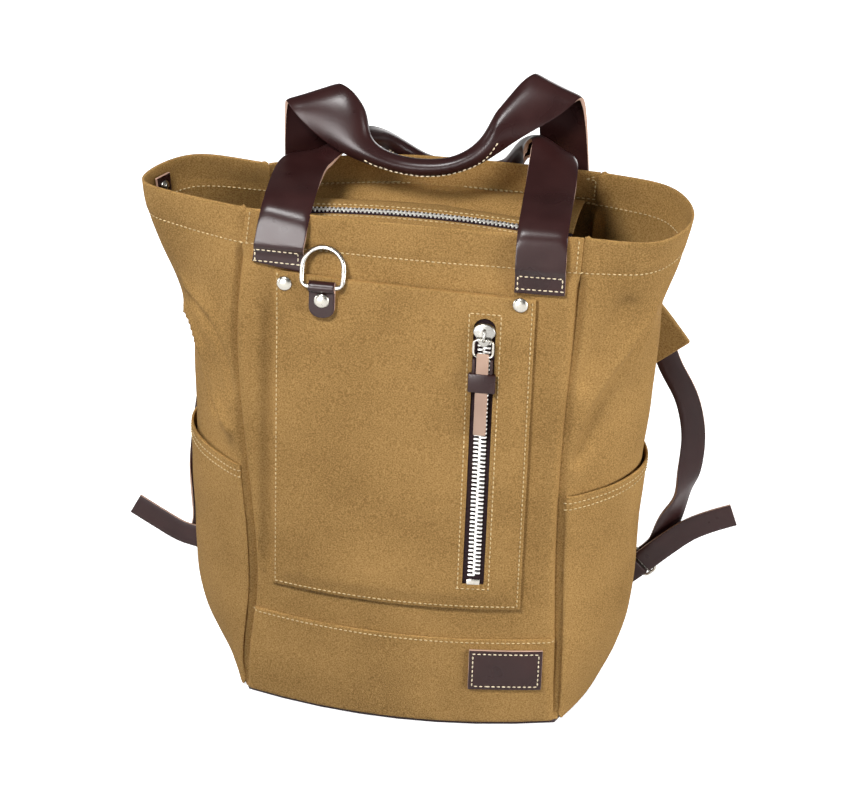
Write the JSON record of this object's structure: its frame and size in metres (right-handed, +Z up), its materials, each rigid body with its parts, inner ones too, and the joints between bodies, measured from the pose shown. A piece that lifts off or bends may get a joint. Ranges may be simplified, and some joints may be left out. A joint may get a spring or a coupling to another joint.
{
  "type": "canvas backpack",
  "caption": "Upright canvas backpack with a wide tote mouth, recessed zip closure, zipped front pocket, open side pockets, leather handles and shoulder straps.",
  "frame": {"origin": "on the floor under the middle of the base", "axes": "+Z up, the front with its zipped pocket faces -Y, +X to the right as seen from the front"},
  "size_m": [0.5253, 0.2047, 0.5181],
  "materials": {
    "canvas": "waxed khaki cotton canvas, plain weave",
    "leather": "dark brown bridle leather, smooth, semi-gloss",
    "tan_leather": "natural flesh side and cut edges of the leather",
    "zip_tape": "dark brown woven zip tape",
    "nickel": "polished nickel plate",
    "thread": "cream waxed sewing thread"
  },
  "bodies": {
    "bag": {"front_panel": "canvas", "back_panel": "canvas", "left_gusset": "canvas", "right_gusset": "canvas", "base_band": "canvas", "pocket_panel": "canvas", "left_side_pocket": "canvas", "right_side_pocket": "canvas", "zip_strip_front": "canvas", "zip_strip_back": "canvas", "left_shoulder_pad": "canvas", "right_shoulder_pad": "canvas", "base_panel": "leather", "front_handle": "leather", "back_handle": "leather", "ring_tab": "leather", "base_patch": "leather", "snap_tab": "leather", "left_adjuster_strap": "leather", "right_adjuster_strap": "leather", "left_anchor_strap": "leather", "right_anchor_strap": "leather", "pocket_zip_tape": "zip_tape", "top_zip_tape": "zip_tape", "tab_rivet": "nickel", "pocket_rivet_left": "nickel", "pocket_rivet_right": "nickel", "pocket_zip_teeth": "nickel", "pocket_zip_slider": "nickel", "pocket_zip_stop": "nickel", "top_zip_teeth": "nickel", "top_zip_slider": "nickel", "left_buckle": "nickel", "right_buckle": "nickel", "snap_stud": "nickel"},
    "ring": {"d_ring": "nickel"},
    "pull": {"pull_bail": "nickel", "pull_tag": "tan_leather"}
  },
  "joints": [
    {"name": "ring_swing", "type": "hinge", "parent": "bag", "child": "ring", "pos_m": [-0.067, -0.0863, 0.381], "axis": [1, 0, 0], "range_deg": [0, 160]},
    {"name": "pull_swing", "type": "hinge", "parent": "bag", "child": "pull", "pos_m": [0.0575, -0.08657, 0.34916], "axis": [-1, 0, 0], "range_deg": [0, 150]}
  ]
}
